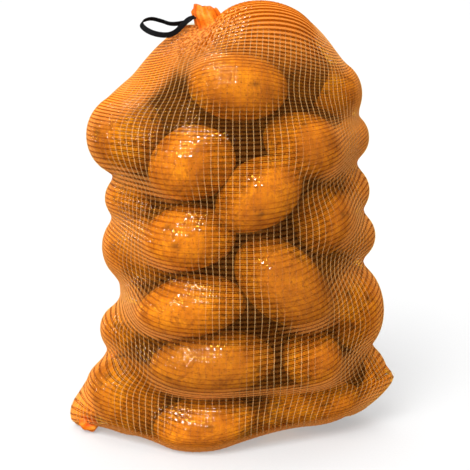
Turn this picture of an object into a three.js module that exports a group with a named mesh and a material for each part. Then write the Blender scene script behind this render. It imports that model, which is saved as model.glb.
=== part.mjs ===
// A ten-kilogram net sack of potatoes standing upright, with the loop of its drawstring.
// Millimetres, +Z up, the front faces -Y. The origin is on the floor under the middle of the sack.

import * as THREE from "three";
import { mergeVertices } from "three/addons/utils/BufferGeometryUtils.js";

// The net
const COLUMNS = 80;              // columns of the net's face round the sack
const ROWS = 72;                 // rows of the net's face from the top of the tuft to the bottom seam
const TUFT_ROWS = 7;             // rows above the tie, which hold their shape
const NET_STAND_OFF = 1.2;       // the net's face lies this far outside the potatoes
const RING_PULL = 1;             // pull along the tapes that run round the full belly of the sack
const SLACK_RING_PULL = 0.04;    // pull along the tapes that lie gathered at the tie and the seam
const STRAND_PULL = 0.045;       // pull along the strands that run from the tie to the seam
const SETTLING_STEPS = 500;      // steps in which the net draws itself tight
const SAME_PLACE = 1e-3;         // knots closer than this are one knot
const NET_COLOUR = 0xd9822b;
const NET_ROUGHNESS = 0.5;

// The loose net before it draws tight: a flat-bottomed pillow that clears every potato
const LOOSE_HALF_WIDTH = 172;
const LOOSE_HALF_DEPTH = 115;
const LOOSE_HEIGHT = 446;
const SHOULDER_HEIGHT = 335;

// Shares of a strand, counted from the tie
const SHOULDER_END = 0.3;        // the pillow reaches its full girth
const UNDERSIDE_START = 0.82;    // the pillow turns under
const SLACK_ABOVE = 0.18;        // the tapes above hang slack
const FULLY_TIGHT = 0.4;         // the tapes pull their hardest from here
const SLACK_BELOW = 0.62;        // the tapes below hang slacker and slacker

// The middle of the filling, which the net draws towards: an upright strip
const CORE_HALF_WIDTH = 60;
const CORE_BOTTOM = 70;
const CORE_TOP = 310;

// The tie and the tuft above it
const TIE = new THREE.Vector3(-24, 0, 414);
const TIE_RADIUS = 14;
const TUFT_TOP = new THREE.Vector3(-31, 0, 437);
const TUFT_BULGE = 2;            // the tuft is this much fuller than the tie
const TUFT_FLATNESS = 0.75;      // depth of the tuft as a share of its width
const TUFT_LOBES = 5;
const TUFT_LOBE_DEPTH = 2;

// Lumps that fill the net, each [x, y, z, half length, half width, half depth, tilt]. The half
// length and half width lie in the plane of the front; the tilt in degrees lifts the length's
// right-hand end.
const FRONT_POTATOES = [
  [5, -52, 360, 49, 33, 35, -6],
  [-39, -58, 288, 44, 37, 35, 20],
  [66, -45, 303, 40, 33, 34, -25],
  [24, -64, 259, 48, 34, 34, 35],
  [-41, -58, 216, 46, 33, 35, 5],
  [87, -30, 227, 36, 31, 34, 90],
  [-40, -60, 148, 55, 31, 35, 8],
  [48, -62, 172, 56, 37, 36, -42],
  [-20, -60, 91, 64, 33, 36, 4],
  [78, -45, 90, 31, 29, 32, 0],
  [-28, -52, 25, 53, 27, 34, 8],
];
const SIDE_POTATOES = [
  [30, -8, 397, 52, 38, 38, -8],
  [98, 5, 345, 31, 27, 32, 90],
  [-102, -15, 313, 42, 40, 36, 70],
  [-57, 15, 352, 32, 26, 30, 30],
  [-99, 0, 242, 27, 25, 28, 0],
  [-87, 0, 192, 43, 41, 36, 0],
  [-107, 0, 106, 27, 27, 28, 90],
  [-105, -15, 40, 46, 38, 36, -35],
  [-70, 46, 30, 42, 32, 32, -10],
  [107, 5, 302, 26, 25, 30, 0],
  [111, 8, 248, 25, 24, 30, 90],
  [117, 8, 202, 25, 25, 30, 90],
  [120, -5, 130, 46, 31, 34, 95],
  [79, 5, 27, 52, 29, 34, 6],
  [112, 22, 64, 34, 30, 32, 60],
];
const GATHERED_CORNERS = [
  [-150, 0, 20, 21, 17, 12, 60],
  [140, 0, 35, 34, 9, 8, 42],
  [148, 0, 67, 22, 8, 8, -66],
];
const BACK_SHARE = 0.95;         // size of a back potato next to the front one it repeats

// The drawstring: a flat woven tape that leaves the tie, loops round and comes back to it
const TAPE_WIDTH = 5.3;
const TAPE_THICKNESS = 1.1;
const TAPE_STEPS = 64;
const TAPE_HALF_SIDES = 5;       // half the number of sides of the tape's section
const TAPE_COLOUR = 0x141416;
const TAPE_ROUGHNESS = 0.6;
const TAPE_ROUTE = [
  [-42, -6, 422],
  [-49, -8, 415],
  [-54.5, -11, 409],
  [-60.5, -14, 405.5],
  [-67.5, -16.5, 404.5],
  [-75, -17, 406],
  [-81.5, -14, 408.5],
  [-86.5, -7, 411.5],
  [-88, 2, 414],
  [-85.5, 10, 416],
  [-79, 15, 417],
  [-70, 15, 415],
  [-61, 12, 412.5],
  [-52, 9.5, 413],
  [-44, 8.5, 415],
  [-38.5, 8.8, 418],
];

// The ellipsoid of one lump, as the matrix that carries a unit ball onto it.
function lumpMatrix([x, y, z, halfLength, halfWidth, halfDepth, tilt], standOff) {
  const half = new THREE.Vector3(halfLength, halfDepth, halfWidth).addScalar(standOff);
  const turn = new THREE.Quaternion().setFromAxisAngle(
    new THREE.Vector3(0, -1, 0), THREE.MathUtils.degToRad(tilt));
  return new THREE.Matrix4().compose(new THREE.Vector3(x, y, z), turn, half);
}

// The back of the sack repeats the front, turned half round.
function turnedToBack([x, y, z, halfLength, halfWidth, halfDepth, tilt]) {
  return [-x, -y, z, halfLength * BACK_SHARE, halfWidth, halfDepth, -tilt];
}

const UNIT_BALL = new THREE.Sphere(new THREE.Vector3(), 1);

// The place where a line going inwards first meets a lump, as a distance along the line.
function distanceToLump(line, matrix) {
  const inverse = matrix.clone().invert();
  const start = line.origin.clone().applyMatrix4(inverse);
  if (start.lengthSq() <= 1) return 0;
  const meeting = line.clone().applyMatrix4(inverse).intersectSphere(UNIT_BALL, new THREE.Vector3());
  return meeting ? meeting.applyMatrix4(matrix).distanceTo(line.origin) : Infinity;
}

// Direction of a column in plan: column 0 lies at the right-hand corner.
function columnDirection(column) {
  const angle = (2 * Math.PI * column) / COLUMNS;
  return new THREE.Vector2(Math.cos(angle), Math.sin(angle));
}

// A knot of the tuft: the net gathered above the tie into a lobed bunch that closes at its top.
function tuftKnot(row, column) {
  const rise = 1 - row / TUFT_ROWS;
  const angle = (2 * Math.PI * column) / COLUMNS;
  const bulge = TUFT_BULGE * Math.sin(Math.PI * rise);
  const lobe = TUFT_LOBE_DEPTH * rise * Math.cos(TUFT_LOBES * angle);
  const radius = (TIE_RADIUS + bulge + lobe) * Math.sqrt(1 - rise ** 3);
  const knot = new THREE.Vector3().lerpVectors(TIE, TUFT_TOP, rise);
  knot.x += radius * Math.cos(angle);
  knot.y += radius * TUFT_FLATNESS * Math.sin(angle);
  return knot;
}

// How far down its strand a row lies: 0 at the tie, 1 at the seam.
function strandShare(row) {
  return (row - TUFT_ROWS) / (ROWS - TUFT_ROWS);
}

// The tapes pull hardest round the belly and hang slack where the net is gathered.
function ringPull(row) {
  const share = strandShare(row);
  const tight = THREE.MathUtils.smoothstep(share, SLACK_ABOVE, FULLY_TIGHT)
    * (1 - THREE.MathUtils.smoothstep(share, SLACK_BELOW, 1));
  return THREE.MathUtils.lerp(SLACK_RING_PULL, RING_PULL, tight);
}

// The line that a knot below the tie slides along: from its place in the loose net to the core.
function knotLine(row, column) {
  const share = strandShare(row);
  const plan = columnDirection(column);
  const dome = Math.min(share / SHOULDER_END, 1) * Math.PI / 2;
  const girth = Math.sin(dome);
  const fall = THREE.MathUtils.clamp((share - SHOULDER_END) / (UNDERSIDE_START - SHOULDER_END), 0, 1);
  const under = Math.max(0, (share - UNDERSIDE_START) / (1 - UNDERSIDE_START));
  const start = new THREE.Vector3(
    TIE.x * (1 - girth) + plan.x * THREE.MathUtils.lerp(TIE_RADIUS, LOOSE_HALF_WIDTH, girth),
    plan.y * THREE.MathUtils.lerp(TIE_RADIUS, LOOSE_HALF_DEPTH, girth) * (1 - under),
    SHOULDER_HEIGHT * (1 - fall) + (LOOSE_HEIGHT - SHOULDER_HEIGHT) * Math.cos(dome),
  );
  const aim = new THREE.Vector3(
    CORE_HALF_WIDTH * plan.x, 0, THREE.MathUtils.clamp(start.z, CORE_BOTTOM, CORE_TOP));
  return new THREE.Ray(start, aim.sub(start).normalize());
}

// The knot on the other face of the sack that shares a place in the bottom seam.
function acrossSeam(column) {
  return (COLUMNS - column) % COLUMNS;
}

// A knot and how far it may slide before it meets the filling. The tuft is fixed.
function looseKnot(row, column, lumps) {
  if (row <= TUFT_ROWS) return { place: tuftKnot(row, column) };
  const line = knotLine(row, column);
  const stop = Math.min(...lumps.map((lump) => distanceToLump(line, lump)));
  return { place: line.origin.clone(), line, stop };
}

// Where the four neighbours of a knot pull it to.
function pulledPlace(net, row, column) {
  const above = net[row - 1][column].place;
  const below = (row < ROWS ? net[row + 1][column] : net[row - 1][acrossSeam(column)]).place;
  const left = net[row][(column + COLUMNS - 1) % COLUMNS].place;
  const right = net[row][(column + 1) % COLUMNS].place;
  const pull = ringPull(row);
  const ring = new THREE.Vector3().addVectors(left, right).multiplyScalar(pull);
  const strand = new THREE.Vector3().addVectors(above, below).multiplyScalar(STRAND_PULL);
  return ring.add(strand).divideScalar(2 * (pull + STRAND_PULL));
}

// Slide one knot along its line to where its neighbours pull it, but not into the filling.
function slideKnot(net, row, column) {
  const { place, line, stop } = net[row][column];
  if (!line) return;
  const travel = pulledPlace(net, row, column).sub(line.origin).dot(line.direction);
  line.at(THREE.MathUtils.clamp(travel, 0, stop), place);
}

// The net drawn tight over its lumps, as rows of knots. Front and back share the knots of the seam.
function settledNet(lumps) {
  const rowOfKnots = (row) => Array.from(
    { length: COLUMNS }, (_, column) => looseKnot(row, column, lumps));
  const net = Array.from({ length: ROWS + 1 }, (_, row) => rowOfKnots(row));
  for (let column = COLUMNS / 2 + 1; column < COLUMNS; column += 1) {
    net[ROWS][column] = net[ROWS][acrossSeam(column)];
  }
  for (let step = 0; step < SETTLING_STEPS; step += 1) {
    for (let row = TUFT_ROWS + 1; row <= ROWS; row += 1) {
      for (let column = 0; column < COLUMNS; column += 1) {
        slideKnot(net, row, column);
      }
    }
  }
  return net;
}

// The whole sack: an open tube with a closed top, its knots moved to the settled net.
function sackGeometry() {
  const filling = [
    ...FRONT_POTATOES, ...SIDE_POTATOES, ...FRONT_POTATOES.map(turnedToBack), ...GATHERED_CORNERS,
  ];
  const net = settledNet(filling.map((lump) => lumpMatrix(lump, NET_STAND_OFF)));
  const geometry = new THREE.CylinderGeometry(0, 1, 1, COLUMNS, ROWS, true);
  const places = geometry.getAttribute("position");
  for (let index = 0; index < places.count; index += 1) {
    const row = Math.floor(index / (COLUMNS + 1));
    const { x, y, z } = net[row][index % (COLUMNS + 1) % COLUMNS].place;
    places.setXYZ(index, x, y, z);
  }
  geometry.deleteAttribute("normal");
  geometry.deleteAttribute("uv");
  const joined = mergeVertices(geometry, SAME_PLACE);
  joined.computeVertexNormals();
  return joined;
}

// The drawstring: the tape's section, a flat oval, carried along the route.
function drawstringGeometry() {
  const route = new THREE.CatmullRomCurve3(TAPE_ROUTE.map((place) => new THREE.Vector3(...place)));
  const section = new THREE.Shape();
  section.absellipse(0, 0, TAPE_THICKNESS / 2, TAPE_WIDTH / 2, 0, 2 * Math.PI);
  return new THREE.ExtrudeGeometry(section, {
    steps: TAPE_STEPS, curveSegments: TAPE_HALF_SIDES, extrudePath: route, bevelEnabled: false,
  });
}

function namedMesh(name, geometry, color, roughness) {
  const mesh = new THREE.Mesh(geometry, new THREE.MeshStandardMaterial({ color, roughness, metalness: 0 }));
  mesh.name = name;
  return mesh;
}

const meshSack = new THREE.Group();
meshSack.name = "mesh_sack";
meshSack.add(namedMesh("sack", sackGeometry(), NET_COLOUR, NET_ROUGHNESS));
meshSack.add(namedMesh("drawstring", drawstringGeometry(), TAPE_COLOUR, TAPE_ROUGHNESS));

export default meshSack;
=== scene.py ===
# %% [markdown]
# # A net sack of potatoes
# A ten-kilogram sack of knitted orange net stands upright, packed tight with potatoes. We dress its
# fixed CAD frame: the drawstring and the potatoes first, then the net drawn over them, then its
# gathered ends, the floor and the light. Everything is in metres and in the frame's own place, with
# the front facing -Y.

# %% The frame and the box that the finished sack has to fit
import math
import random

import bmesh
import bpy
import numpy as np
from mathutils import Matrix, Quaternion, Vector, noise
from mathutils.bvhtree import BVHTree


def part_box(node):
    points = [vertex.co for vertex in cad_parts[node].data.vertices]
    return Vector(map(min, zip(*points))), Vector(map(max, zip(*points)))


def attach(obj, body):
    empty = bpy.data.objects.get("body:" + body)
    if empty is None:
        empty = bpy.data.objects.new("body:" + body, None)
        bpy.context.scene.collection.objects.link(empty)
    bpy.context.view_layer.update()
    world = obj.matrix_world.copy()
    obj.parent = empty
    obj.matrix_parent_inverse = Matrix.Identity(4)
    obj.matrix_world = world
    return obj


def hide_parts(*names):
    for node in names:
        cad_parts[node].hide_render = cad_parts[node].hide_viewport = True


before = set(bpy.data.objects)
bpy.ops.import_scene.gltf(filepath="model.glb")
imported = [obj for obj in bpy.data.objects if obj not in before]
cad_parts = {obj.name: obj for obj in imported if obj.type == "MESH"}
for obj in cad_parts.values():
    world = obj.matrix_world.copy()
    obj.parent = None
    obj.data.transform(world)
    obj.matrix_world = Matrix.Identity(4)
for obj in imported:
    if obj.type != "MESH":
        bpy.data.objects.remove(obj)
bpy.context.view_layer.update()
MM = 0.001

# %% [markdown]
# ## The camera
# The sack is seen from the front and a little above, from far enough away that it hardly narrows
# towards the back. A long lens does that, so we give the lens by what fits across the picture at the
# sack's middle.

# %% Camera
VIEW_TILT = math.radians(14)
VIEW_DISTANCE = 1.35
VIEW_TARGET = Vector((0.002, 0, 0.204))
PICTURE_WIDTH = 0.470
SENSOR = 36


def into_scene(name, data):
    thing = bpy.data.objects.new(name, data)
    bpy.context.scene.collection.objects.link(thing)
    return thing


view_from = Vector((0, -math.cos(VIEW_TILT), math.sin(VIEW_TILT)))
camera_data = bpy.data.cameras.new("camera")
camera_data.sensor_width = SENSOR
camera_data.lens = SENSOR * VIEW_DISTANCE / PICTURE_WIDTH
camera = into_scene("camera", camera_data)
camera.location = VIEW_TARGET + VIEW_DISTANCE * view_from
camera.rotation_euler = (math.pi / 2 - VIEW_TILT, 0, 0)
bpy.context.scene.camera = camera
print("lens, mm:", round(camera_data.lens, 1))

# %% [markdown]
# ## Helpers for pieces and finishes
# Each piece ends the same way: its bmesh becomes a mesh object that rides on the sack's one body,
# stands for a CAD node and takes a finish. Each finish is a node tree, so the other helpers add a
# node, fill in its inputs and wire it to the next one.

# %% A finished piece
SMOOTH_BELOW = math.radians(40)


def put_in_order(bm):
    """Number a mesh from the floor up, because extruding numbers its points differently every time."""
    for rank, vert in enumerate(sorted(bm.verts, key=lambda vert: vert.co.zyx[:])):
        vert.index = rank
    for rank, face in enumerate(sorted(bm.faces, key=lambda face: face.calc_center_median().zyx[:])):
        face.index = rank
    bm.verts.sort()
    bm.faces.sort()


def finished_piece(bm, name, finish, node):
    bmesh.ops.recalc_face_normals(bm, faces=bm.faces)
    put_in_order(bm)
    mesh = bpy.data.meshes.new(name)
    bm.to_mesh(mesh)
    bm.free()
    mesh.shade_smooth()
    mesh.set_sharp_from_angle(angle=SMOOTH_BELOW)
    mesh.materials.append(finish)
    piece = into_scene(name, mesh)
    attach(piece, "root")
    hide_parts(node)
    mesh.calc_loop_triangles()
    print(name, "has", len(mesh.loop_triangles), "triangles")
    return piece


# %% Nodes of a finish. A Mix node has sockets of its own for plain values and for colours.
VALUE_A, VALUE_B = 2, 3
COLOUR_A, COLOUR_B, COLOUR_OUT = 6, 7, 2
BLACK, WHITE = (0, 0, 0), (1, 1, 1)


def new_finish(name):
    finish = bpy.data.materials.new(name)
    finish.use_nodes = True
    nodes = finish.node_tree.nodes
    print("finish:", name)
    return finish, nodes["Principled BSDF"], nodes["Material Output"]


def set_inputs(node, **inputs):
    for socket, value in inputs.items():
        node.inputs[socket.replace("_", " ")].default_value = value


def add_node(finish, kind, settings=None, **inputs):
    node = finish.node_tree.nodes.new(kind)
    for setting, value in (settings or {}).items():
        setattr(node, setting, value)
    set_inputs(node, **inputs)
    return node


def add_maths(finish, operation, second=None):
    """A Math node, whose second input may be a fixed number."""
    node = add_node(finish, "ShaderNodeMath", {"operation": operation})
    if second is not None:
        node.inputs[1].default_value = second
    return node


def add_attribute(finish, name):
    return add_node(finish, "ShaderNodeAttribute", {"attribute_name": name})


def add_range(finish, low, high, **inputs):
    """A Map Range node, which carries 0 to the low number and 1 to the high one."""
    return add_node(finish, "ShaderNodeMapRange", To_Min=low, To_Max=high, **inputs)


def add_wave(finish, direction, **inputs):
    return add_node(finish, "ShaderNodeTexWave", {"bands_direction": direction}, **inputs)


def wire(source, socket, target, entry):
    source.id_data.links.new(source.outputs[socket], target.inputs[entry])


def colour_ramp(finish, stops):
    ramp = add_node(finish, "ShaderNodeValToRGB")
    elements = ramp.color_ramp.elements
    while len(elements) < len(stops):
        elements.new(0.5)
    for element, (position, colour) in zip(elements, stops):
        element.position = position
        element.color = (*colour, 1)
    return ramp


def ramped_texture(finish, kind, reading, stops, **inputs):
    """A texture that stays in its place on the object, and the ramp that reads it."""
    place = add_node(finish, "ShaderNodeTexCoord")
    texture = add_node(finish, kind, **inputs)
    ramp = colour_ramp(finish, stops)
    wire(place, "Object", texture, "Vector")
    wire(texture, reading, ramp, "Fac")
    return texture, ramp


def colour_layer(finish, colour, blend="MIX"):
    """A Mix node that lays a colour over the one that is wired into it."""
    layer = add_node(finish, "ShaderNodeMix", {"data_type": "RGBA", "blend_type": blend})
    layer.inputs[COLOUR_B].default_value = (*colour, 1)
    return layer


# %% [markdown]
# ## The drawstring
# A flat black woven tape closes the sack's mouth. Only its loop shows, standing out stiffly to the
# left of the neck. A curve with a flat bevel could make it, but that would roll over on its way round.
# So we start from one ring of points, the tape's section, and extrude it from station to station along
# the route. The width direction is carried along from one station to the next, so the tape bends only
# the flat way, as a real tape does, and its two ends twist into the tuft.

# %% The route of the tape
TAPE_ROUTE = [
    (-35, -4, 421), (-42, -6, 418.5), (-49, -8, 412), (-54.5, -11, 407), (-60.5, -14, 404.5),
    (-67.5, -16.5, 404.5), (-75, -17, 406), (-81.5, -14, 408.5), (-86.5, -7, 411.5),
    (-88, 2, 414), (-85.5, 10, 416), (-79, 15, 417), (-70, 15, 415),
    (-61, 12, 412.5), (-52, 9.5, 413), (-44, 8.5, 415), (-38.5, 8.8, 418),
    (-32, 8, 421.5),
]
TAPE_WIDTH = 5.3 * MM
TAPE_THICKNESS = 1.0 * MM
STATIONS_PER_STEP = 7


def smooth_route(places, steps):
    """Points on a Catmull-Rom curve through the places."""
    ends = [places[0] * 2 - places[1], *places, places[-1] * 2 - places[-2]]
    route = []
    for before, start, end, after in zip(ends, ends[1:], ends[2:], ends[3:]):
        for step in range(steps):
            t = step / steps
            route.append(0.5 * (2 * start + (end - before) * t
                                + (2 * before - 5 * start + 4 * end - after) * t ** 2
                                + (3 * start - before - 3 * end + after) * t ** 3))
    return route + [places[-1]]


tape_path = smooth_route([Vector(place) * MM for place in TAPE_ROUTE], STATIONS_PER_STEP)
tape_length = sum((b - a).length for a, b in zip(tape_path, tape_path[1:]))
print("drawstring loop, mm:", round(tape_length / MM, 1))


# %% The finish of the tape: black weave with a dull gloss, its ribs a little lighter as painted sheen and its grooves darker as painted shade
def tape_finish():
    finish, weave, _ = new_finish("drawstring_weave")
    uv = add_node(finish, "ShaderNodeUVMap", {"uv_map": "weave"})
    ribs = add_wave(finish, "X", Scale=0.62, Distortion=0.6)
    rows = add_wave(finish, "Y", Scale=1.1, Distortion=0.4)
    height = add_node(finish, "ShaderNodeMix", {"data_type": "FLOAT"}, Factor=0.5)
    bump = add_node(finish, "ShaderNodeBump", Strength=0.55, Distance=0.25 * MM)
    # The colour follows the weave's height: painted sheen on the ribs, painted shade in the grooves.
    shade = colour_ramp(finish, [(0.0, (0.002, 0.002, 0.002)), (1.0, (0.009, 0.009, 0.010))])
    for pattern, entry in ((ribs, VALUE_A), (rows, VALUE_B)):
        wire(uv, "UV", pattern, "Vector")
        wire(pattern, "Fac", height, entry)
    wire(height, 0, bump, "Height")
    wire(height, 0, shade, "Fac")
    wire(shade, "Color", weave, "Base Color")
    wire(bump, "Normal", weave, "Normal")
    set_inputs(weave, Roughness=0.55, Specular_IOR_Level=0.04)
    return finish


# %% Where each section of the tape stands
END_TWIST = math.radians(70)
TWISTED_SHARE = 0.15


def tape_stations(path):
    """A matrix for each station: X across the tape, Y through it, Z along the route."""
    stations = []
    across = Vector((0, 0, 1))
    befores = [path[0], *path]
    afters = [*path[1:], path[-1]]
    for number, (before, place, after) in enumerate(zip(befores, path, afters)):
        along = (after - before).normalized()
        across = (across - along * across.dot(along)).normalized()
        through = along.cross(across)
        turn = Matrix((across, through, along)).transposed().to_quaternion()
        to_end = min(number, len(path) - 1 - number) / len(path)
        twist = END_TWIST * max(0, 1 - to_end / TWISTED_SHARE)
        stations.append(Matrix.LocRotScale(place, turn @ Quaternion((0, 0, 1), twist), None))
    return stations


stations = tape_stations(tape_path)
print(len(stations), "stations along the tape")

# %% The tape itself
SECTION_SIDES = 16
SECTION_SQUARENESS = 0.45
WEAVE_ROWS = 4


def squared(share, width):
    """How far out a point of the flat-sided section lies, from its share of a circle's radius."""
    return math.copysign(abs(share) ** SECTION_SQUARENESS, share) * width / 2


def ring_pairs(ring, known):
    """Each new point of a ring with the point of the last ring that it grew from."""
    for new in ring:
        for edge in new.link_edges:
            old = edge.other_vert(new)
            if old in known:
                yield old, new


def tape_mesh(stations):
    bm = bmesh.new()
    uv = bm.loops.layers.uv.new("weave")
    bmesh.ops.create_circle(bm, segments=SECTION_SIDES, radius=1)
    ring = list(bm.verts)
    side_of = {}
    for vert in ring:
        angle = math.atan2(vert.co.y, vert.co.x)
        side_of[vert] = math.cos(angle)
        vert.co.x = squared(math.cos(angle), TAPE_WIDTH)
        vert.co.y = squared(math.sin(angle), TAPE_THICKNESS)
    bmesh.ops.transform(bm, matrix=stations[0], verts=ring)
    edges = list(bm.edges)
    bmesh.ops.contextual_create(bm, geom=edges)
    station_of = dict.fromkeys(ring, 0)
    for number, (last, here) in enumerate(zip(stations, stations[1:]), start=1):
        grown = bmesh.ops.extrude_edge_only(bm, edges=edges)["geom"]
        ring = [part for part in grown if isinstance(part, bmesh.types.BMVert)]
        edges = [part for part in grown if isinstance(part, bmesh.types.BMEdge)]
        bmesh.ops.transform(bm, matrix=here @ last.inverted(), verts=ring)
        for old, new in ring_pairs(ring, station_of):
            side_of[new] = side_of[old]
        station_of.update(dict.fromkeys(ring, number))
    bmesh.ops.contextual_create(bm, geom=edges)
    for face in bm.faces:
        for loop in face.loops:
            loop[uv].uv = (station_of[loop.vert], side_of[loop.vert] * WEAVE_ROWS)
    return bm


tape = finished_piece(tape_mesh(stations), "drawstring_tape", tape_finish(), "drawstring")
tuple(tape_path[0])

# %% [markdown]
# ## The potatoes
# Every potato that shows is placed where it bulges out of the net: its middle, its half length, width
# and depth, and how far its right-hand end is lifted. The front ones also get their darkness one by
# one, partly dust and partly painted shade that dulls those lying in less light. The back of the sack
# repeats the front turned half round, and a few small ones fill the notches of the sides. The middle
# could be left empty, as the outer ones hide most of it, but the gaps look deep into the sack, so it
# is filled by a rule, with potatoes darkened nearly to black as painted shade.

# %% Where the potatoes lie, in millimetres: x, y, z, half length, half width, half depth, tilt
FRONT_POTATOES = [
    (5, -52, 360, 49, 33, 35, -6), (-39, -58, 288, 44, 37, 35, 20), (66, -45, 303, 40, 33, 34, -25),
    (24, -64, 259, 48, 34, 34, 35), (-41, -58, 216, 46, 33, 35, 5), (87, -30, 227, 36, 31, 34, 90),
    (-40, -60, 148, 55, 31, 35, 8), (48, -62, 172, 56, 37, 36, -42), (-20, -60, 91, 64, 33, 36, 4),
    (78, -45, 90, 31, 29, 32, 0), (-28, -52, 25, 53, 27, 34, 8),
]
# How dark each front potato is: partly dust, partly painted shade on those that lie in less light.
FRONT_DUST_AND_SHADE = [0.14, 0.02, 0.16, 0.10, 0.0, 0.24, 0.04, 0.34, 0.36, 0.14, 0.0]
SIDE_POTATOES = [
    (30, -8, 397, 52, 38, 38, -8), (98, 5, 345, 31, 27, 32, 90), (-102.5, -15, 308, 40, 38.5, 36, 70),
    (-60, 14, 358, 31, 22, 28, 28), (-99, 0, 242, 27, 25, 28, 0), (-87, 0, 192, 43, 41, 36, 0),
    (-107, 0, 106, 27, 27, 28, 90), (-105, -15, 40, 46, 38, 36, -35), (-70, 46, 30, 42, 32, 32, -10),
    (107, 5, 302, 26, 25, 30, 0), (111, 8, 248, 25, 24, 30, 90), (117, 8, 202, 25, 25, 30, 90),
    (120, -5, 130, 46, 31, 34, 95), (79, -14, 36, 52, 26, 33, 6), (112, 22, 64, 34, 30, 32, 60),
]
BACK_SHARE = 0.95
BACK_POTATOES = [(-x, -y, z, length * BACK_SHARE, width, depth, -tilt)
                 for x, y, z, length, width, depth, tilt in FRONT_POTATOES]
NOTCH_FILLERS = [
    (-94, 28, 275, 25, 24, 24, 20), (-86, 26, 150, 30, 25, 26, -15), (-98, 22, 76, 30, 24, 26, 10),
    (94, 30, 275, 28, 24, 24, -20), (98, 32, 224, 26, 24, 24, 15), (100, 32, 176, 28, 24, 24, 0),
    (112, 20, 92, 26, 24, 22, 10), (42, 4, 17, 30, 16, 26, 0),
]


def lump_matrix(lump, stand_off=0.0):
    """The matrix that carries a unit ball onto a lump, fatter all round by the stand-off."""
    x, y, z, length, width, depth, tilt = lump
    turn = Matrix.Rotation(math.radians(-tilt), 4, "Y")
    half = Vector((length, depth, width)) + Vector((stand_off,) * 3)
    return Matrix.Translation(Vector((x, y, z)) * MM) @ turn @ Matrix.Diagonal((*(half * MM), 1))


print(len(FRONT_POTATOES + SIDE_POTATOES), "potatoes show from the front and the sides")

# %% The potatoes in the middle: a staggered grid, each as large as the sack leaves room for
CORE_STEP = 44
CORE_RISE = 37
CORE_FOOT = 0.7
CORE_HALF_LENGTH = 33
CORE_LEAST = 15
CORE_CLEARANCE = 6
CORE_SLIMNESS = 0.88
CORE_TILT = 35


def core_potatoes():
    shell = bmesh.new()
    shell.from_mesh(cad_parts["sack"].data)
    skin = BVHTree.FromBMesh(shell)
    shell.free()
    _, highest = (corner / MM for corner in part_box("sack"))
    steps = math.ceil(highest.x / CORE_STEP)
    lumps = []
    for level in range(math.ceil(highest.z / CORE_RISE)):
        for step in range(-steps, steps + 1):
            place = Vector(((step + level % 2 / 2) * CORE_STEP, 0, (level + CORE_FOOT) * CORE_RISE))
            nearest, outwards, _, distance = skin.find_nearest(place * MM)
            room = min(distance / MM - CORE_CLEARANCE, CORE_HALF_LENGTH)
            if (place * MM - nearest).dot(outwards) < 0 and room > CORE_LEAST:
                tilt = CORE_TILT * (-1) ** (step + level)
                lumps.append((*place, room, room * CORE_SLIMNESS, room * CORE_SLIMNESS, tilt))
    return lumps


# A few more close the last gaps that one could see right through
CORE_STOPPERS = [
    (60, -24, 268, 26, 20, 20, 0), (50, -24, 146, 26, 20, 20, 0),
    (-60, 24, 268, 26, 20, 20, 0), (-50, 24, 146, 26, 20, 20, 0), (76, 6, 382, 20, 11, 18, -50),
]
CORE_POTATOES = core_potatoes() + CORE_STOPPERS
print(len(CORE_POTATOES), "potatoes fill the middle")


# %% [markdown]
# A potato's skin is golden and blotched, with brown scurf, scars and specks and dark eyes. The outer
# ones carry some dust, a few front ones painted shade as well, and the ones deeper in the sack are
# darkened nearly to black as painted shade. Painting it would need an image, so we lay five tints over
# the blotches instead, each held by its own texture or by a number that the mesh carries at every
# point.

# %% The finish of the skin
def potato_finish():
    finish, skin, _ = new_finish("potato_skin")
    _, blotch = ramped_texture(
        finish, "ShaderNodeTexNoise", "Fac",
        [(0.36, (0.33, 0.155, 0.022)), (0.50, (0.54, 0.30, 0.055)), (0.66, (0.74, 0.49, 0.14))],
        Scale=38, Detail=5, Roughness=0.62, Distortion=0.4)
    grain, scurf = ramped_texture(
        finish, "ShaderNodeTexNoise", "Fac", [(0.47, BLACK), (0.62, WHITE)],
        Scale=210, Detail=6, Roughness=0.7)
    _, scar = ramped_texture(
        finish, "ShaderNodeTexNoise", "Fac", [(0.54, BLACK), (0.63, WHITE)],
        Scale=75, Detail=4, Roughness=0.7, Distortion=1.2)
    _, speck = ramped_texture(
        finish, "ShaderNodeTexVoronoi", "Distance", [(0.10, WHITE), (0.22, BLACK)],
        Scale=230, Randomness=1.0)
    eye = add_attribute(finish, "eye")
    # The darkness each point carries: dust on the outer potatoes, painted shade on some front ones and
    # on those deep in the sack.
    dust_and_shade = add_attribute(finish, "tone")

    colour, socket = blotch, "Color"
    for mask, mask_socket, strength, tint in (
            (scurf, "Color", 0.42, (0.24, 0.105, 0.020)),
            (scar, "Color", 0.6, (0.19, 0.07, 0.012)),
            (speck, "Color", 0.7, (0.09, 0.04, 0.010)),
            (eye, "Fac", 0.9, (0.06, 0.025, 0.007)),
            (dust_and_shade, "Fac", 0.92, (0.030, 0.013, 0.004))):
        amount = add_maths(finish, "MULTIPLY", strength)
        layer = colour_layer(finish, tint)
        wire(mask, mask_socket, amount, 0)
        wire(amount, 0, layer, 0)
        wire(colour, socket, layer, COLOUR_A)
        colour, socket = layer, COLOUR_OUT

    rough = add_range(finish, 0.34, 0.62)
    bump = add_node(finish, "ShaderNodeBump", Strength=0.35, Distance=0.6 * MM)
    wire(grain, "Fac", rough, "Value")
    wire(grain, "Fac", bump, "Height")
    wire(colour, socket, skin, "Base Color")
    wire(rough, "Result", skin, "Roughness")
    wire(bump, "Normal", skin, "Normal")
    set_inputs(skin, Specular_IOR_Level=0.05)
    return finish


# %% [markdown]
# Each potato starts as an icosphere, gets uneven swellings, a thin end and sunken eyes, and is then
# stretched onto its place. Sculpting each one would give the same look for far more work. The
# swellings only go inwards, because the net is drawn over the stretched ball.

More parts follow.
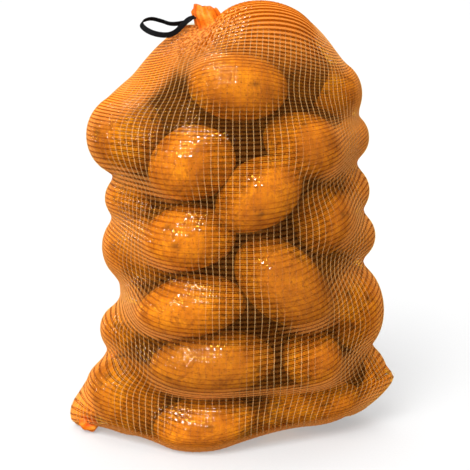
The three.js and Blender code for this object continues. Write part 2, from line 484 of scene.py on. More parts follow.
# %% One potato
SWELLING = 0.05
SWELLS = 1.2
LUMPINESS = 0.02
LUMPS = 3.1
DRIFT = 50
TAPER = 0.16
EYE_DEPTH = 0.045
EYE_SPREAD = 0.085
EYES = (4, 9)
FLOOR_GAP = 1.0 * MM


def unit_direction(chance):
    height = chance.uniform(-1, 1)
    angle = chance.uniform(0, 2 * math.pi)
    reach = math.sqrt(1 - height ** 2)
    return Vector((reach * math.cos(angle), reach * math.sin(angle), height))


def hills(place):
    """Smooth noise from 0 to 1."""
    return 0.5 + 0.5 * noise.noise(place)


def keep_off_floor(verts):
    for vert in verts:
        vert.co.z = max(vert.co.z, FLOOR_GAP)


def add_potato(bm, lump, fineness, dust_and_shade, chance):
    """A potato, darkened by the given amount of dirt and painted shade."""
    tone_layer = bm.verts.layers.float["tone"]
    eye_layer = bm.verts.layers.float["eye"]
    verts = bmesh.ops.create_icosphere(bm, subdivisions=fineness, radius=1)["verts"]
    drift = Vector([chance.uniform(-DRIFT, DRIFT) for _ in range(3)])
    thin_end = chance.choice((-1, 1))
    taper = chance.uniform(0, TAPER)
    eyes = [unit_direction(chance) for _ in range(chance.randint(*EYES))]
    for vert in verts:
        swell = hills(vert.co * SWELLS + drift)
        lump_rise = hills(vert.co * LUMPS - drift)
        eye = max(math.exp(-((vert.co - spot).length / EYE_SPREAD) ** 2) for spot in eyes)
        slimmer = 1 - taper * max(0, vert.co.x * thin_end)
        vert.co *= 1 - SWELLING * swell - LUMPINESS * lump_rise - EYE_DEPTH * eye
        vert.co.yz = vert.co.yz * slimmer
        vert[tone_layer] = dust_and_shade
        vert[eye_layer] = eye
    bmesh.ops.transform(bm, matrix=lump_matrix(lump), verts=verts)
    keep_off_floor(verts)


# %% All the potatoes
POTATO_FINENESS = 5
CORE_FINENESS = 4
OUTER_DUST = (0, 0.2)
# The potatoes in the middle are darkened nearly to black: painted shade, as little light reaches so
# deep.
CORE_PAINTED_SHADE = (0.8, 1)


def potatoes_mesh(outer_lumps, dusts_and_shades, inner_lumps, chance):
    bm = bmesh.new()
    bm.verts.layers.float.new("tone")
    bm.verts.layers.float.new("eye")
    for lump, dust_and_shade in zip(outer_lumps, dusts_and_shades):
        add_potato(bm, lump, POTATO_FINENESS, dust_and_shade, chance)
    for lump in inner_lumps:
        add_potato(bm, lump, CORE_FINENESS, chance.uniform(*CORE_PAINTED_SHADE), chance)
    return bm


def any_dust(lumps, chance):
    return [chance.uniform(*OUTER_DUST) for _ in lumps]


chance = random.Random(20)
skin_finish = potato_finish()
front_dust_and_shade = FRONT_DUST_AND_SHADE + any_dust(SIDE_POTATOES, chance)
finished_piece(potatoes_mesh(FRONT_POTATOES + SIDE_POTATOES, front_dust_and_shade, [], chance),
               "potatoes_front", skin_finish, "sack")
back_dust = any_dust(BACK_POTATOES + NOTCH_FILLERS, chance)
finished_piece(potatoes_mesh(BACK_POTATOES + NOTCH_FILLERS, back_dust, CORE_POTATOES, chance),
               "potatoes_back", skin_finish, "sack")

# %% [markdown]
# ## The net's shape
# The net is knitted: thin strands run from the tied mouth to the bottom seam, and flat film tapes run
# round the sack. Cloth simulation could drape it, but a tight net has a simpler rule: every crossing
# of a strand and a tape slides straight in from a loose pillow until it meets a potato or until its
# four neighbours hold it. We repeat that for all crossings at once with numpy, often enough that
# hardly anything moves any more. The pillow ends in a ridge at the top, because the mouth is drawn
# together lengthwise, and thin folds of spare net stand out at the left-hand shoulder and at the
# bottom corners, so the crossings stop there too.

# %% The loose net
STRANDS = 120
TAPES = 120
LOOSE_HALF_WIDTH = 172 * MM
LOOSE_HALF_DEPTH = 115 * MM
LOOSE_HEIGHT = 446 * MM
SHOULDER_HEIGHT = 335 * MM
SHOULDER_END = 0.3
UNDERSIDE_START = 0.82
CORE_HALF_WIDTH = 60 * MM
CORE_BOTTOM = 70 * MM
CORE_TOP = 310 * MM
MOUTH_MIDDLE = 17 * MM
MOUTH_HALF_LENGTH = 56 * MM
TIE_HEIGHT = 414 * MM
OUTLINE_POINTS = 2001


def strand_angles():
    """Directions of the strands in plan, evenly spaced round the loose pillow."""
    fine = np.linspace(0, 2 * math.pi, OUTLINE_POINTS)
    outline = np.stack((LOOSE_HALF_WIDTH * np.cos(fine), LOOSE_HALF_DEPTH * np.sin(fine)), axis=1)
    walked = np.concatenate(([0], np.cumsum(np.linalg.norm(np.diff(outline, axis=0), axis=1))))
    return np.interp(np.arange(STRANDS) / STRANDS * walked[-1], walked, fine)


def loose_net(share, angle):
    """Where every crossing starts, and the direction in which it slides."""
    dome = np.minimum(share / SHOULDER_END, 1) * math.pi / 2
    girth = np.sin(dome)
    fall = np.clip((share - SHOULDER_END) / (UNDERSIDE_START - SHOULDER_END), 0, 1)
    under = np.maximum(0, (share - UNDERSIDE_START) / (1 - UNDERSIDE_START))
    wide = MOUTH_HALF_LENGTH + (LOOSE_HALF_WIDTH - MOUTH_HALF_LENGTH) * girth
    deep = LOOSE_HALF_DEPTH * girth * (1 - under)
    high = SHOULDER_HEIGHT * (1 - fall) + (LOOSE_HEIGHT - SHOULDER_HEIGHT) * np.cos(dome)
    start = np.stack(np.broadcast_arrays(
        MOUTH_MIDDLE * (1 - girth) + wide * np.cos(angle), deep * np.sin(angle), high), axis=-1)
    aim = np.stack(np.broadcast_arrays(
        CORE_HALF_WIDTH * np.cos(angle), 0 * angle, np.clip(high, CORE_BOTTOM, CORE_TOP)), axis=-1)
    slide = aim - start
    return start, slide / np.linalg.norm(slide, axis=-1, keepdims=True)


share = np.linspace(0, 1, TAPES + 1)[:, None]
angle = strand_angles()[None, :]
start, slide = loose_net(share, angle)
print(STRANDS, "strands cross", TAPES, "tapes")

# %% How far each crossing can slide before it meets the filling or a fold
NET_STAND_OFF = 1.2
LEFT_FOLDS = [(-150, 0, 20, 20, 16, 12, 60), (-142, 0, 45, 46, 9, 8, 58)]
SHOULDER_FOLD = (-85, 0, 362, 66, 8, 5, 38)
RIGHT_FOLDS = [(139, 0, 35, 34, 9, 8, 42), (147, 0, 67, 22, 8, 8, -66)]
OUTER_POTATOES = FRONT_POTATOES + SIDE_POTATOES + BACK_POTATOES + NOTCH_FILLERS


def distance_to_lump(start, slide, lump):
    into_ball = np.array(lump_matrix(lump, NET_STAND_OFF).inverted())
    place = start @ into_ball[:3, :3].T + into_ball[:3, 3]
    heading = slide @ into_ball[:3, :3].T
    a = (heading ** 2).sum(-1)
    b = (heading * place).sum(-1)
    c = (place ** 2).sum(-1) - 1
    under_root = b * b - a * c
    entry = (-b - np.sqrt(np.maximum(under_root, 0))) / a
    entry[(under_root < 0) | (entry < 0)] = np.inf
    entry[c <= 0] = 0
    return entry


stop = np.full(start.shape[:2], np.inf)
for lump in OUTER_POTATOES + LEFT_FOLDS + [SHOULDER_FOLD] + RIGHT_FOLDS:
    stop = np.minimum(stop, distance_to_lump(start, slide, lump))
stop[0] = np.minimum(stop[0], (TIE_HEIGHT - LOOSE_HEIGHT) / slide[0, :, 2])
print("crossings that can meet something:", int(np.isfinite(stop).sum()), "of", stop.size)

# %% Drawing the net tight
RING_PULL = 1
SLACK_RING_PULL = 0.04
STRAND_PULL = 0.0725
SLACK_ABOVE, FULLY_TIGHT, SLACK_BELOW = 0.27, 0.42, 0.62
SETTLING_STEPS = 2500
CONTACT_REACH = 1.6 * MM


def smooth_step(value, low, high):
    t = np.clip((value - low) / (high - low), 0, 1)
    return t * t * (3 - 2 * t)


def settled_net(start, slide, stop):
    """The tight net, with each crossing's touch beside its place: 1 on the filling, 0 off it."""
    tight = smooth_step(share, SLACK_ABOVE, FULLY_TIGHT) * (1 - smooth_step(share, SLACK_BELOW, 1))
    ring = (SLACK_RING_PULL + (RING_PULL - SLACK_RING_PULL) * tight)[..., None]
    across_seam = (-np.arange(STRANDS)) % STRANDS
    travel = np.zeros(stop.shape)
    for _ in range(SETTLING_STEPS):
        net = start + slide * travel[..., None]
        beside = np.roll(net, 1, axis=1) + np.roll(net, -1, axis=1)
        above = np.concatenate((net[:1], net[:-1]))
        below = np.concatenate((net[1:], net[-2:-1, across_seam]))
        pulled = (ring * beside + STRAND_PULL * (above + below)) / (2 * (ring + STRAND_PULL))
        travel = np.clip(((pulled - start) * slide).sum(-1), 0, stop)
        travel[0] = stop[0]
    touch = np.exp((travel - stop) / CONTACT_REACH)
    return np.concatenate((start + slide * travel[..., None], touch[..., None]), axis=-1)


net = settled_net(start, slide, stop)
print("settled net, mm:", *((side((0, 1))[:3] / MM).round(1) for side in (net.min, net.max)))


# %% [markdown]
# The crossings now sit on the right surface, but they have slid towards the middle in every hollow,
# so the strands would snake round the potatoes. Real strands run straight up the sack: each keeps
# its distance from the middle strand of its face, and only where a ring is too short do the outer
# strands crowd together at the sack's corners. So we walk along every ring and set its crossings out
# again.

# %% Straight strands
QUARTER = STRANDS // 4
BELLY_ROWS = slice(TAPES // 4, 3 * TAPES // 4)
CROWDING = 6
GATHERED_SHARE = 0.2
MOUTH_LOOSENESS = 0.5
BELLY_LOOSENESS = 0.86
NET_FLOOR_GAP = 0.8 * MM


def crowded(distance, room):
    """A distance as it is, until it nears the room there is."""
    return distance / (1 + (distance / room) ** CROWDING) ** (1 / CROWDING)


def straightened(net):
    straight = net.copy()
    steps = np.arange(QUARTER + 1) / QUARTER
    for middle, way in ((QUARTER, 1), (QUARTER, -1), (3 * QUARTER, 1), (3 * QUARTER, -1)):
        order = [(middle + way * step) % STRANDS for step in range(QUARTER + 1)]
        ring = net[:, order, :3]
        gaps = np.linalg.norm(np.diff(ring, axis=1, prepend=ring[:, :1]), axis=-1)
        walked = np.cumsum(gaps, axis=1)
        belly = np.median(walked[BELLY_ROWS, -1])
        for row in range(TAPES + 1):
            room = walked[row, -1]
            kept = room * crowded(belly * steps, room) / crowded(belly, room)
            below_mouth = smooth_step(share[row], 0, GATHERED_SHARE)
            loose = MOUTH_LOOSENESS + (BELLY_LOOSENESS - MOUTH_LOOSENESS) * below_mouth
            target = loose * kept + (1 - loose) * room * steps
            for axis in range(net.shape[-1]):
                straight[row, order, axis] = np.interp(target, walked[row], net[row, order, axis])
    return straight


net = straightened(net)
net[..., 2] = np.maximum(net[..., 2], NET_FLOOR_GAP)
middle_gap = net[TAPES // 2, 3 * QUARTER] - net[TAPES // 2, 3 * QUARTER + 1]
print("spacing of the front's strands, mm:", round(float(np.linalg.norm(middle_gap)) / MM, 2))


# %% [markdown]
# Where the sides are drawn in between two potatoes, the real tapes don't lie level: they climb
# towards those waists, so that on the flanks they run slantwise. The surface is right already, so we
# only carry each tape up along the strands there, by a few rows at most.

# %% Tapes that climb towards the waists at the sides
CLIMB_RIGHT = 9
CLIMB_LEFT = 8
CLIMB_WIDTH = 2.5
CLIMB_START_RIGHT = (0.15, 0.5)
CLIMB_START_LEFT = (0.4, 0.66)
CLIMB_END = (0.75, 1)


def climbing(net):
    """The same surface, with its tapes carried up along the strands at the two sides."""
    side = np.cos(angle[0])
    right = CLIMB_RIGHT * np.maximum(side, 0) ** CLIMB_WIDTH
    left = CLIMB_LEFT * np.maximum(-side, 0) ** CLIMB_WIDTH
    before_end = 1 - smooth_step(share, *CLIMB_END)
    right_reach = smooth_step(share, *CLIMB_START_RIGHT) * before_end
    left_reach = smooth_step(share, *CLIMB_START_LEFT) * before_end
    rows = np.arange(TAPES + 1)
    risen = rows[:, None] - right * right_reach - left * left_reach
    climbed = net.copy()
    for column in range(STRANDS):
        for axis in range(net.shape[-1]):
            climbed[:, column, axis] = np.interp(risen[:, column], rows, net[:, column, axis])
    return climbed


net = climbing(net)
touch = net[..., 3]
net = net[..., :3]
print("share of the net that touches the filling:", round(float((touch > 0.5).mean()), 2))

# %% A place anywhere on the net, and the way out of the sack there
LEAST_LENGTH = 1e-12


def net_normals(net):
    along = np.roll(net, -1, axis=1) - np.roll(net, 1, axis=1)
    down = np.gradient(net, axis=0)
    out = np.cross(down, along)
    return out / np.maximum(np.linalg.norm(out, axis=-1, keepdims=True), LEAST_LENGTH)


def sampled(field, row, column):
    """A value between the crossings, by straight lines along the tapes and the strands."""
    row = min(max(row, 0), TAPES)
    upper = min(int(row), TAPES - 1)
    left = math.floor(column)
    down, right = row - upper, column - left
    corner = [[field[upper + r, (left + c) % STRANDS] for c in (0, 1)] for r in (0, 1)]
    top = corner[0][0] * (1 - right) + corner[0][1] * right
    bottom = corner[1][0] * (1 - right) + corner[1][1] * right
    return top * (1 - down) + bottom * down


normals = net_normals(net)
outside = (normals * net)[BELLY_ROWS, :, :2].sum(-1) > 0
print("share of the normals that point out of the sack:", round(float(outside.mean()), 2))

# %% [markdown]
# ## The finishes of the net
# A tape is a strip of thin clear orange film, nearly as wide as the rows are apart. Its rolled edges
# show as dark lines, partly their own colour and partly painted shade of the gaps between the tapes.
# Head on we look through it, and at a slant it turns opaque and shines in small specks. It hangs
# clearest between the potatoes and lies flat and milky on them. At the mouth and the left-hand
# shoulder it lies in folds, and round the tie it is dotted dark with painted shade where its crowded
# openings would show the inside. Glass with a real thickness would be slow to trace, so we mix clear,
# matt and glossy shaders. The patterns run on the net's own UV map, one unit a mesh, and on numbers
# that the net carries at every point.

# %% The film's relief: rolled edges, a pillow in each mesh, and fine creases
MESH_WAVE = math.pi / 10


def film_relief(finish):
    """The rolled edges, and the bump that the gloss follows."""
    uv = add_node(finish, "ShaderNodeUVMap", {"uv_map": "net"})
    swell = add_wave(finish, "X", Scale=MESH_WAVE)
    curl = add_wave(finish, "Y", Scale=MESH_WAVE)
    crease = add_node(finish, "ShaderNodeTexNoise", Scale=1.7, Detail=3)
    pillow = add_maths(finish, "ADD")
    height = add_node(finish, "ShaderNodeMix", {"data_type": "FLOAT"}, Factor=0.2)
    bump = add_node(finish, "ShaderNodeBump", Strength=0.7, Distance=0.5 * MM)
    for texture in (swell, curl, crease):
        wire(uv, "UV", texture, "Vector")
    wire(swell, "Fac", pillow, 0)
    wire(curl, "Fac", pillow, 1)
    wire(pillow, 0, height, VALUE_A)
    wire(crease, "Fac", height, VALUE_B)
    wire(height, 0, bump, "Height")
    return curl, bump


# %% The film's dark lines, its rolled edges with painted shade of the gaps: fainter where it is pressed flat, closer at the mouth, and dark dots of painted shade in its openings at the tie
def film_lines(finish, curl, slant, touching, gather):
    """How dark the rolled edges with their painted gap shade are, and how dark the film is with its
    crowded rows and the painted shade of its openings at the tie.
    """
    front = add_range(finish, 1, 0)
    held = add_maths(finish, "MULTIPLY")
    flat = add_range(finish, 1, 0, From_Max=0.6)
    pressed = add_maths(finish, "MULTIPLY")
    loose = add_range(finish, 1, 0.5)
    rolled_edge_and_gap_shade = add_maths(finish, "MULTIPLY")
    wire(slant, "Facing", front, "Value")
    wire(touching, "Fac", held, 0)
    wire(front, "Result", held, 1)
    wire(gather, "Fac", flat, "Value")
    wire(held, 0, pressed, 0)
    wire(flat, "Result", pressed, 1)
    wire(pressed, 0, loose, "Value")
    wire(loose, "Result", rolled_edge_and_gap_shade, 0)
    wire(curl, "Fac", rolled_edge_and_gap_shade, 1)

    mouth = add_attribute(finish, "mouth")
    crowded_rows = add_maths(finish, "MULTIPLY_ADD", 0.45)
    # Dark dots round the tie: painted shade where the crowded openings would show the inside of the
    # sack.
    place = add_node(finish, "ShaderNodeTexCoord")
    opening_dots = add_node(finish, "ShaderNodeTexVoronoi", Scale=330, Randomness=0.9)
    hollow = add_range(finish, 1, 0.45, From_Min=0.3, From_Max=0.68)
    tied = add_attribute(finish, "tied")
    lines_and_opening_shade = add_node(finish, "ShaderNodeMix", {"data_type": "FLOAT"})
    wire(mouth, "Fac", crowded_rows, 0)
    wire(rolled_edge_and_gap_shade, 0, crowded_rows, 2)
    wire(place, "Object", opening_dots, "Vector")
    wire(opening_dots, "Distance", hollow, "Value")
    wire(tied, "Fac", lines_and_opening_shade, 0)
    wire(crowded_rows, 0, lines_and_opening_shade, VALUE_A)
    wire(hollow, "Result", lines_and_opening_shade, VALUE_B)
    return rolled_edge_and_gap_shade, lines_and_opening_shade


# %% The film's body: how much of it is seen, and how much is seen through it
def film_body(finish, scatter, curl):
    slant = add_node(finish, "ShaderNodeLayerWeight", Blend=0.5)
    touching = add_attribute(finish, "touch")
    gather = add_attribute(finish, "gather")
    rolled_edge_and_gap_shade, lines_and_opening_shade = film_lines(finish, curl, slant, touching, gather)
    tint = colour_ramp(finish, [(0.45, (0.93, 0.38, 0.105)), (0.92, (0.42, 0.095, 0.004))])
    glow = colour_ramp(finish, [(0.45, (0.98, 0.83, 0.28)), (0.92, (0.47, 0.19, 0.022))])
    deep = colour_layer(finish, (0.82, 0.63, 0.22), "MULTIPLY")
    wire(lines_and_opening_shade, 0, tint, "Fac")
    wire(rolled_edge_and_gap_shade, 0, glow, "Fac")
    wire(gather, "Fac", deep, 0)
    wire(tint, "Color", deep, COLOUR_A)
    wire(deep, COLOUR_OUT, scatter, "Base Color")
    set_inputs(scatter, Roughness=0.5, Specular_IOR_Level=0)

    milkiness = add_range(finish, 0.030, 0.062)
    layers = add_range(finish, 0, 0.75, From_Min=0.38)
    folded = add_maths(finish, "MULTIPLY_ADD", 0.6)
    clear = add_node(finish, "ShaderNodeBsdfTransparent")
    body = add_node(finish, "ShaderNodeMixShader")
    wire(touching, "Fac", milkiness, "Value")
    wire(milkiness, "Result", layers, "To Min")
    wire(slant, "Facing", layers, "Value")
    wire(gather, "Fac", folded, 0)
    wire(layers, "Result", folded, 2)
    wire(glow, "Color", clear, "Color")
    wire(folded, 0, body, 0)
    wire(clear, "BSDF", body, 1)
    wire(scatter, "BSDF", body, 2)
    return body


# %% The film with its gloss
def film_finish():
    finish, scatter, output = new_finish("net_film")
    curl, bump = film_relief(finish)
    body = film_body(finish, scatter, curl)
    gloss = add_node(finish, "ShaderNodeBsdfGlossy", Roughness=0.09)
    slant = add_node(finish, "ShaderNodeLayerWeight", Blend=0.5)
    steep = add_maths(finish, "POWER", 5)
    mirror = add_range(finish, 0.02, 0.3)
    mix = add_node(finish, "ShaderNodeMixShader")
    wire(bump, "Normal", gloss, "Normal")
    wire(bump, "Normal", slant, "Normal")
    wire(slant, "Facing", steep, 0)
    wire(steep, 0, mirror, "Value")
    wire(mirror, "Result", mix, 0)
    wire(body, "Shader", mix, 1)
    wire(gloss, "BSDF", mix, 2)
    wire(mix, "Shader", output, "Surface")
    return finish


# %% The strands: chains of pale loops, two a mesh, that hardly show on a potato
def strand_finish():
    finish, yarn, output = new_finish("net_strand")
    uv = add_node(finish, "ShaderNodeUVMap", {"uv_map": "net"})
    loops = add_wave(finish, "Y", Scale=2 * MESH_WAVE)
    bump = add_node(finish, "ShaderNodeBump", Strength=0.5, Distance=0.2 * MM)
    # The colour follows the loops' height: lighter on top as painted light, darker between as painted
    # shade.
    tint = colour_ramp(finish, [(0.2, (0.78, 0.48, 0.20)), (0.8, (0.90, 0.62, 0.32))])
    touching = add_attribute(finish, "touch")
    show = add_range(finish, 0.2, 0.03)
    clear = add_node(finish, "ShaderNodeBsdfTransparent", Color=(0.98, 0.93, 0.75, 1))
    body = add_node(finish, "ShaderNodeMixShader")
    wire(uv, "UV", loops, "Vector")
    wire(loops, "Fac", bump, "Height")
    wire(loops, "Fac", tint, "Fac")
    wire(tint, "Color", yarn, "Base Color")
    wire(bump, "Normal", yarn, "Normal")
    set_inputs(yarn, Roughness=0.38, Specular_IOR_Level=0.2)
    wire(touching, "Fac", show, "Value")
    wire(show, "Result", body, 0)
    wire(clear, "BSDF", body, 1)
    wire(yarn, "BSDF", body, 2)
    wire(body, "Shader", output, "Surface")
    return finish


# %% [markdown]
# ## The film tapes and the strands
# Tapes and strands are the same thing to build: long strips that lie on the net. Curves with a flat
# bevel could make them, but one flat grid makes them all at once. Its points are carried onto the
# net, the cells between two strips are deleted, and the strips get their thickness. Each point keeps
# how near it is to the filling, the mouth, the folded film and the tie.

# %% How near a place is to the mouth, the folded shoulder and the tie
SHOULDER_FILM = (-90, 0, 362, 78, 28, 90, 38)
SHOULDER_CORE = 0.45
TIE = Vector((-20, -14, 402)) * MM
TIED_CLOSE = 18 * MM
TIED_REACH = 66 * MM
into_shoulder = lump_matrix(SHOULDER_FILM).inverted()


def nearness(distance, close, far):
    return 1 - float(smooth_step(distance, close, far))


def nearness_to_mouth(row):
    return nearness(row / TAPES, 0, GATHERED_SHARE)


def nearness_to_shoulder(place):
    return nearness((into_shoulder @ place).length, SHOULDER_CORE, 1)


def nearness_to_tie(place):
    return nearness((place - TIE).length, TIED_CLOSE, TIED_REACH)


print("rows that are gathered at the mouth:", round(GATHERED_SHARE * TAPES))

# %% Strips on the net
MERGE_DISTANCE = 1e-6


def strip_line(index, width):
    """Lines 0 and 1 bound the first strip, lines 2 and 3 the second one, and so on."""
    return index // 2 + (width / 2 if index % 2 else -width / 2)


def net_strips(columns, rows, strip_axis, place_of, lift, thickness):
    """Strips from a grid, whose lines bound them in pairs along the strip axis."""
    bm = bmesh.new()
    uv = bm.loops.layers.uv.new("net")
    touch_layer, gather_layer, mouth_layer, tied_layer = (
        bm.verts.layers.float.new(name) for name in ("touch", "gather", "mouth", "tied"))
    bmesh.ops.create_grid(bm, x_segments=columns, y_segments=rows, size=1)
    cell = {vert: (round((vert.co.x + 1) / 2 * columns), round((1 - vert.co.y) / 2 * rows))
            for vert in bm.verts}
    between = [face for face in bm.faces
               if min(cell[vert][strip_axis] for vert in face.verts) % 2]
    bmesh.ops.delete(bm, geom=between, context="FACES")
    for face in bm.faces:
        for loop in face.loops:
            loop[uv].uv = place_of(*cell[loop.vert])
    outwards = {}
    for vert in bm.verts:
        column, row = place_of(*cell[vert])
        outwards[vert] = Vector(sampled(normals, row, column))
        vert.co = Vector(sampled(net, row, column)) + lift * outwards[vert]
        vert[touch_layer] = float(sampled(touch, row, column))
        vert[mouth_layer] = nearness_to_mouth(row)
        vert[tied_layer] = nearness_to_tie(vert.co)
        vert[gather_layer] = max(vert[mouth_layer], nearness_to_shoulder(vert.co))
    bmesh.ops.remove_doubles(bm, verts=bm.verts, dist=MERGE_DISTANCE)
    grown = bmesh.ops.extrude_face_region(bm, geom=bm.faces[:], use_keep_orig=True)["geom"]
    for inner in grown:
        if isinstance(inner, bmesh.types.BMVert):
            linked = (edge.other_vert(inner) for edge in inner.link_edges)
            outer = next(vert for vert in linked if vert in outwards)
            inner.co -= thickness * outwards[outer]
    return bm


# %% The tapes, which are pressed wider where they lie on the filling, and the strands
FREE_TAPE = 0.86
FLAT_TAPE = 0.98
FILM_THICKNESS = 0.12 * MM
STRAND_WIDTH = 0.11
STRAND_THICKNESS = 0.35 * MM
STRAND_LIFT = 0.3 * MM


def tape_edge(column, line):
    width = FREE_TAPE + (FLAT_TAPE - FREE_TAPE) * touch[1 + line // 2, column % STRANDS]
    return column, 1 + strip_line(line, width)


def strand_edge(line, row):
    return strip_line(line, STRAND_WIDTH), row


tapes_bm = net_strips(STRANDS, 2 * TAPES - 3, 1, tape_edge, 0, FILM_THICKNESS)
strands_bm = net_strips(2 * STRANDS - 1, TAPES, 0, strand_edge, STRAND_LIFT, STRAND_THICKNESS)
finished_piece(tapes_bm, "net_tapes", film_finish(), "sack")
finished_piece(strands_bm, "net_strands", strand_finish(), "sack")

# %% [markdown]
# ## The gathered ends
# Above the tie the mouth of the net bunches into a small tuft, and at the left-hand bottom corner the
# spare net is rolled into a knob. More spare film is tucked into both bottom corners and along the
# bottom, just inside the net. So many layers lie on each other there that the colour turns deep and
# hardly anything shows through, so the film can be solid. Cloth could be crumpled into such shapes,
# but a tuck is only a flattened ball with creases, and the tuft and the knob are turned shapes with
# pleats.


# %% The finish of the gathered film: painted shade deep in its folds, painted light on their crests, and dark dots of painted shade in its meshes
def gathered_finish(name, stops):
    finish, film, _ = new_finish(name)
    place = add_node(finish, "ShaderNodeTexCoord")
    fold = add_attribute(finish, "fold")
    crinkle = add_node(finish, "ShaderNodeTexNoise", Scale=420, Detail=4, Roughness=0.6)
    # The colour follows the fold number and the crinkles of the bump, so it is painted light and shade
    # of both.
    mix = add_node(finish, "ShaderNodeMix", {"data_type": "FLOAT"}, Factor=0.35)
    tint = colour_ramp(finish, stops)
    # Dark dots of painted shade, where the meshes would show the inside.
    _, hole_shade = ramped_texture(
        finish, "ShaderNodeTexVoronoi", "Distance", [(0.12, (0.75, 0.75, 0.75)), (0.30, BLACK)],
        Scale=430, Randomness=0.8)
    layer = colour_layer(finish, (0.22, 0.045, 0.004))
    rough = add_range(finish, 0.30, 0.55)
    bump = add_node(finish, "ShaderNodeBump", Strength=0.5, Distance=0.5 * MM)
    wire(place, "Object", crinkle, "Vector")
    wire(fold, "Fac", mix, VALUE_A)
    wire(crinkle, "Fac", mix, VALUE_B)
    wire(mix, 0, tint, "Fac")
    wire(hole_shade, "Color", layer, 0)
    wire(tint, "Color", layer, COLOUR_A)
    wire(crinkle, "Fac", rough, "Value")
    wire(crinkle, "Fac", bump, "Height")
    wire(layer, COLOUR_OUT, film, "Base Color")
    wire(rough, "Result", film, "Roughness")
    wire(bump, "Normal", film, "Normal")
    set_inputs(film, Specular_IOR_Level=0.12)
    return finish


# %% Spare film tucked into the bottom corners and along the bottom, just inside the net
RIGHT_CORNER = (136, 1, 52, 26, 14, 6, 78)
BOTTOM_FOLDS = [
    (38, 2, 6, 42, 5, 22, 0), (-20, 18, 8, 24, 5, 16, 0), (112, 4, 24, 16, 9, 10, 20),
    (-126, 4, 18, 18, 10, 12, 0),
]
# How pale each group of tucks is: pale with painted light on the left, darker with painted shade on
# the right and at the bottom.
TUCKS = [(LEFT_FOLDS, 0.85), (RIGHT_FOLDS + [RIGHT_CORNER], 0.4), (BOTTOM_FOLDS, 0.2)]
TUCK_CLEARANCE = -1.2
TUCK_FINENESS = 5
TUCK_DEPTH = 0.12
CREASES = Vector((2, 4, 4))
CREASE_SHADE = 0.4


def tucks_mesh():
    """A ball for each fold, coloured with the painted light or shade of its group, with painted shade
    in its creases, where it is also sunken.
    """
    bm = bmesh.new()
    fold_layer = bm.verts.layers.float.new("fold")
    for lump, painted_lightness in ((lump, painted_lightness) for lumps, painted_lightness in TUCKS for lump in lumps):
        verts = bmesh.ops.create_icosphere(bm, subdivisions=TUCK_FINENESS, radius=1)["verts"]
        for vert in verts:
            vert[fold_layer] = painted_lightness + CREASE_SHADE * noise.noise(vert.co * CREASES)
            vert.co *= 1 - TUCK_DEPTH * (1 - vert[fold_layer])
        bmesh.ops.transform(bm, matrix=lump_matrix(lump, TUCK_CLEARANCE), verts=verts)
        keep_off_floor(verts)
    return bm


tucked_finish = gathered_finish("tucked_film", [
    (0.20, (0.36, 0.19, 0.08)), (0.52, (0.70, 0.40, 0.15)), (0.85, (0.92, 0.47, 0.13))])
finished_piece(tucks_mesh(), "tucked_film", tucked_finish, "sack")

# %% A pleated bunch: the profile's radius and height in millimetres, from its foot to its crown
BUNCH_SIDES = 96
PROFILE_STEPS = 4
FINE_PLEATS = 3
FINE_SHARE = 0.3
WIDE_WANDER, NARROW_WANDER = 1.2, 0.9
FOLD_SHADE = 0.35
CRUMPLES = 140
CRUMPLE_DEPTH = 2.4 * MM
CRUMPLE_SHADE = 0.3


def pleat_height(angle, pleats):
    """From -1 in a hollow to 1 on a crest, with pleats of uneven width."""
    wander = WIDE_WANDER * math.sin(2 * angle + 1) + NARROW_WANDER * math.sin(3 * angle)
    coarse = math.cos(pleats * angle + wander)
    fine = math.cos(FINE_PLEATS * pleats * angle - wander)
    return (1 - FINE_SHARE) * coarse + FINE_SHARE * fine


def bunch_mesh(profile, pleats, pleat_depth, twist, place):
    bm = bmesh.new()
    fold_layer = bm.verts.layers.float.new("fold")
    corners = [Vector((radius, 0, height)) * MM for radius, height in profile]
    points = [bm.verts.new(point) for point in smooth_route(corners, PROFILE_STEPS)]
    lines = [bm.edges.new(pair) for pair in zip(points, points[1:])]
    bmesh.ops.spin(bm, geom=points + lines, axis=(0, 0, 1), cent=(0, 0, 0),
                   angle=2 * math.pi, steps=BUNCH_SIDES, use_merge=True)
    bmesh.ops.remove_doubles(bm, verts=bm.verts, dist=MERGE_DISTANCE)
    tallest = max(height for _, height in profile) * MM
    for vert in bm.verts:
        angle = math.atan2(vert.co.y, vert.co.x) + twist * vert.co.z / tallest
        fold = pleat_height(angle, pleats)
        crumple = noise.noise(vert.co * CRUMPLES)
        # Paler where pleats and crumples stand out, darker where they sink: painted light and shade.
        vert[fold_layer] = 0.5 + FOLD_SHADE * fold + CRUMPLE_SHADE * crumple
        vert.co.xy = vert.co.xy * (1 + pleat_depth * fold)
        vert.co += vert.co.normalized() * CRUMPLE_DEPTH * crumple
    bmesh.ops.transform(bm, matrix=place, verts=bm.verts)
    return bm


# %% The tuft above the tie
TUFT_FOOT = Vector((-19, 0, 402)) * MM
TUFT_PROFILE = [
    (0, -4), (15, -4), (15.5, -1), (15, 4), (15, 9), (15.5, 16), (14.5, 22), (12, 27), (10, 28),
    (8, 26), (5, 20), (3, 16), (0, 15),
]
TUFT_FLATNESS = 0.88
TUFT_LEAN = -0.25
TUFT_SLANT = -0.25

tuft_place = Matrix.Translation(TUFT_FOOT) @ Matrix((
    (1, 0, TUFT_LEAN, 0), (0, TUFT_FLATNESS, 0, 0), (TUFT_SLANT, 0, 1, 0), (0, 0, 0, 1)))
tuft_bm = bunch_mesh(TUFT_PROFILE, pleats=4, pleat_depth=0.12, twist=0.3, place=tuft_place)
bunch_finish = gathered_finish("gathered_film", [
    (0.20, (0.44, 0.045, 0.0005)), (0.52, (0.62, 0.125, 0.003)), (0.85, (0.72, 0.25, 0.022))])
finished_piece(tuft_bm, "tuft", bunch_finish, "sack")

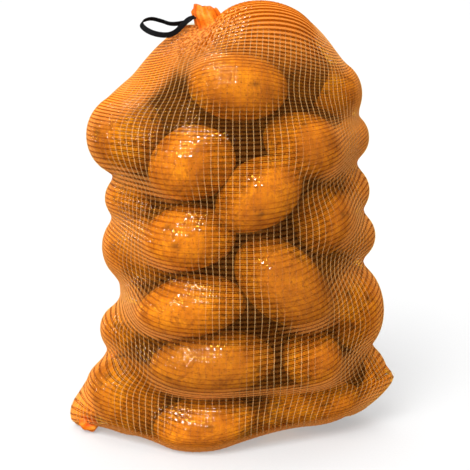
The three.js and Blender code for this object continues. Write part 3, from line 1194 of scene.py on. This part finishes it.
# %% The rolled corner
ROLL_START = Vector((-157, -15, 12)) * MM
ROLL_END = Vector((-140, -18, 7)) * MM
ROLL_PROFILE = [(0, 0), (4, 0.5), (6.5, 5), (7, 10), (6, 15), (3.5, 18.5), (0, 19.5)]

roll_turn = (ROLL_END - ROLL_START).to_track_quat("Z", "Y")
roll_place = Matrix.LocRotScale(ROLL_START, roll_turn, None)
roll_bm = bunch_mesh(ROLL_PROFILE, pleats=5, pleat_depth=0.10, twist=2.5, place=roll_place)
finished_piece(roll_bm, "corner_roll", bunch_finish, "sack")

# %% [markdown]
# ## Floor and light
# The sack stands on a plain white floor in soft studio light. Five wide suns light its colours: a key
# from above the camera, fills from both sides, one from the front and one from above and behind. One
# large lamp could do for both colour and shine, but it would lay a veil over the film, so small lamps
# alone make the white specks, and suns and lamps are kept out of each other's work. The floor glows a
# little, which keeps its shadow soft and pale. It throws no light back, because the white world lights
# the sack from below as well.

# %% Floor
FLOOR_REACH = 30


def floor_finish():
    finish, paper, _ = new_finish("studio_paper")
    _, tint = ramped_texture(
        finish, "ShaderNodeTexNoise", "Fac",
        [(0.3, (0.355, 0.355, 0.355)), (0.7, (0.37, 0.37, 0.37))], Scale=400, Detail=2)
    wire(tint, "Color", paper, "Base Color")
    set_inputs(paper, Roughness=0.9, Emission_Color=(1, 1, 1, 1), Emission_Strength=0.35)
    return finish


floor_bm = bmesh.new()
bmesh.ops.create_grid(floor_bm, x_segments=1, y_segments=1, size=FLOOR_REACH)
floor_mesh = bpy.data.meshes.new("floor")
floor_bm.to_mesh(floor_mesh)
floor_bm.free()
floor_mesh.materials.append(floor_finish())
floor = into_scene("floor", floor_mesh)
floor.visible_diffuse = False
floor.visible_glossy = False
floor.visible_shadow = False
print("floor, m across:", 2 * FLOOR_REACH)

# %% Suns, small lamps, world and the picture's tone
LAMP_TARGET = Vector((0, 0, 0.2))
WORLD_STRENGTH = 0.5


def facing(direction):
    return direction.to_track_quat("-Z", "Y").to_euler()


def add_sun(name, toward, strength, spread):
    data = bpy.data.lights.new(name, "SUN")
    data.energy = strength
    data.angle = math.radians(spread)
    sun = into_scene(name, data)
    sun.rotation_euler = facing(Vector(toward))
    sun.visible_glossy = False


def add_spark(name, place, size, watts):
    data = bpy.data.lights.new(name, "AREA")
    data.energy = watts
    data.size = size
    data.shape = "DISK"
    lamp = into_scene(name, data)
    lamp.location = place
    lamp.rotation_euler = facing(LAMP_TARGET - Vector(place))
    lamp.visible_diffuse = False


add_sun("key", (0.26, 0.62, -0.75), 3.1, 35)
add_sun("fill_left", (0.75, 0.6, -0.3), 2.1, 90)
add_sun("fill_right", (-0.75, 0.6, -0.2), 0.4, 90)
add_sun("front", (0.05, 0.95, -0.12), 1.3, 90)
add_sun("top", (0.05, -0.25, -1.0), 1.3, 40)
add_spark("spark_front", (-0.5, -1.2, 1.6), 0.35, 26)
add_spark("spark_low", (-1.3, -1.2, 1.0), 0.25, 6)
add_spark("spark_left", (-1.9, 0.3, 0.4), 0.35, 5)
add_spark("spark_back", (-0.7, 0.5, 1.9), 0.35, 14)

world = bpy.data.worlds.new("studio")
world.use_nodes = True
set_inputs(world.node_tree.nodes["Background"], Color=(1, 1, 1, 1), Strength=WORLD_STRENGTH)
world.cycles_visibility.glossy = False
bpy.context.scene.world = world
bpy.context.scene.view_settings.view_transform = "Standard"
print("lamps:", len(bpy.data.lights))
